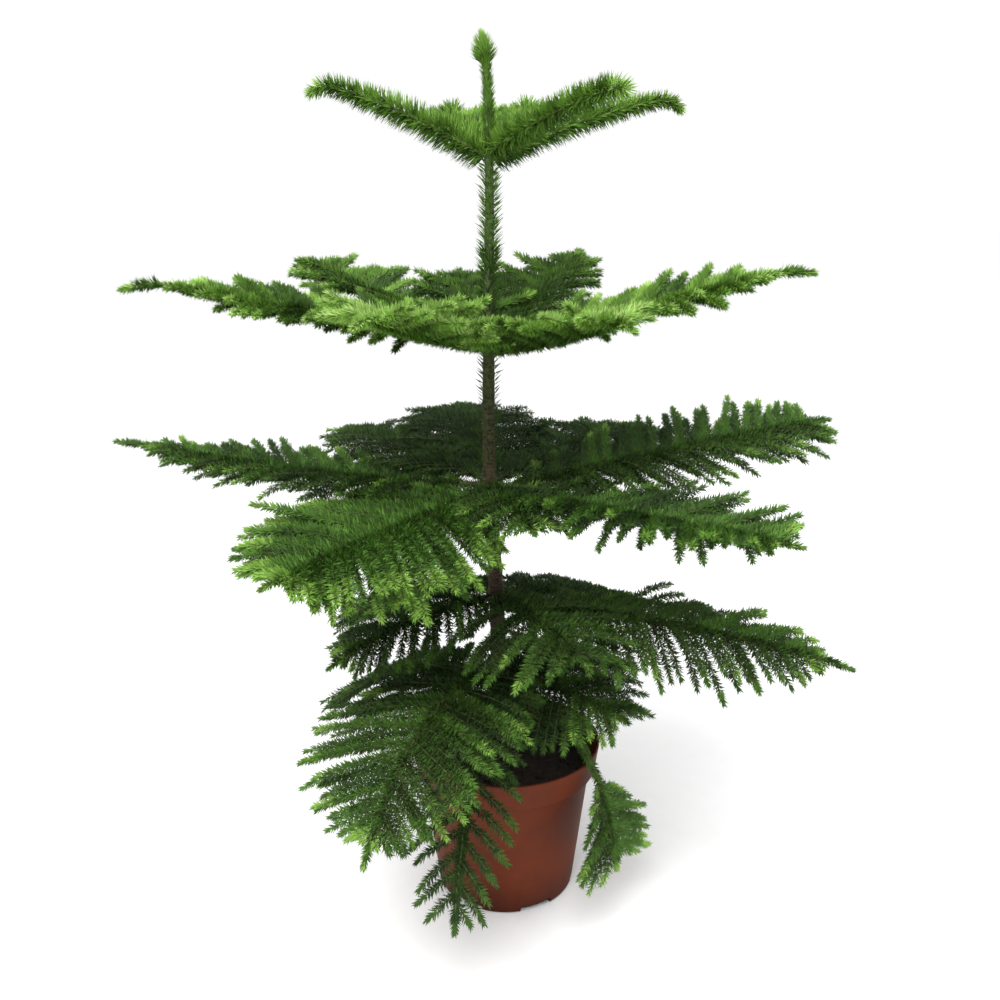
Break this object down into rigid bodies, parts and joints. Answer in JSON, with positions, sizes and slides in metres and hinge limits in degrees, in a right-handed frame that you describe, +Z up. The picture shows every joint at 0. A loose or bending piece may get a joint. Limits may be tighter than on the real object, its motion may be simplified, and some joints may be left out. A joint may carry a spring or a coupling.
{
  "type": "potted norfolk island pine",
  "caption": "Young conifer with a straight trunk, whorls of level to drooping feathery branches and a leading tuft, in a tapering terracotta-coloured pot.",
  "frame": {"origin": "centre of the pot's flat underside", "axes": "+Z up along the pot's axis, -Y towards the viewer of the picture, +X to that viewer's right"},
  "size_m": [0.7047, 0.542, 0.8245],
  "materials": {
    "pot": "satin",
    "soil": "matte",
    "bark": "matte",
    "young_needles": "matte",
    "old_needles": "matte"
  },
  "bodies": {
    "root": {"pot": "pot", "soil": "soil", "trunk": "bark", "leader_tuft": "young_needles", "top_spray_1": "young_needles", "top_spray_2": "young_needles", "top_spray_3": "young_needles", "top_spray_4": "young_needles", "top_spray_5": "young_needles", "upper_bough_1": "bark", "upper_spray_1": "young_needles", "upper_bough_2": "bark", "upper_spray_2": "young_needles", "upper_bough_3": "bark", "upper_spray_3": "young_needles", "upper_bough_4": "bark", "upper_spray_4": "young_needles", "upper_bough_5": "bark", "upper_spray_5": "young_needles", "upper_bough_6": "bark", "upper_spray_6": "young_needles", "upper_spray_7": "young_needles", "middle_bough_1": "bark", "middle_spray_1": "old_needles", "middle_bough_2": "bark", "middle_spray_2": "old_needles", "middle_bough_3": "bark", "middle_spray_3": "old_needles", "middle_bough_4": "bark", "middle_spray_4": "old_needles", "middle_bough_5": "bark", "middle_spray_5": "old_needles", "middle_bough_6": "bark", "middle_spray_6": "old_needles", "middle_bough_7": "bark", "middle_spray_7": "old_needles", "middle_bough_8": "bark", "middle_spray_8": "old_needles", "lower_bough_1": "bark", "lower_spray_1": "old_needles", "lower_bough_2": "bark", "lower_spray_2": "old_needles", "lower_bough_3": "bark", "lower_spray_3": "old_needles", "lower_bough_4": "bark", "lower_spray_4": "old_needles", "lower_bough_5": "bark", "lower_spray_5": "old_needles", "skirt_bough_1": "bark", "skirt_spray_1": "old_needles", "skirt_bough_2": "bark", "skirt_spray_2": "old_needles", "skirt_bough_3": "bark", "skirt_spray_3": "old_needles", "skirt_bough_4": "bark", "skirt_spray_4": "old_needles", "skirt_bough_5": "bark", "skirt_spray_5": "old_needles", "skirt_bough_6": "bark", "skirt_spray_6": "old_needles"}
  },
  "joints": []
}
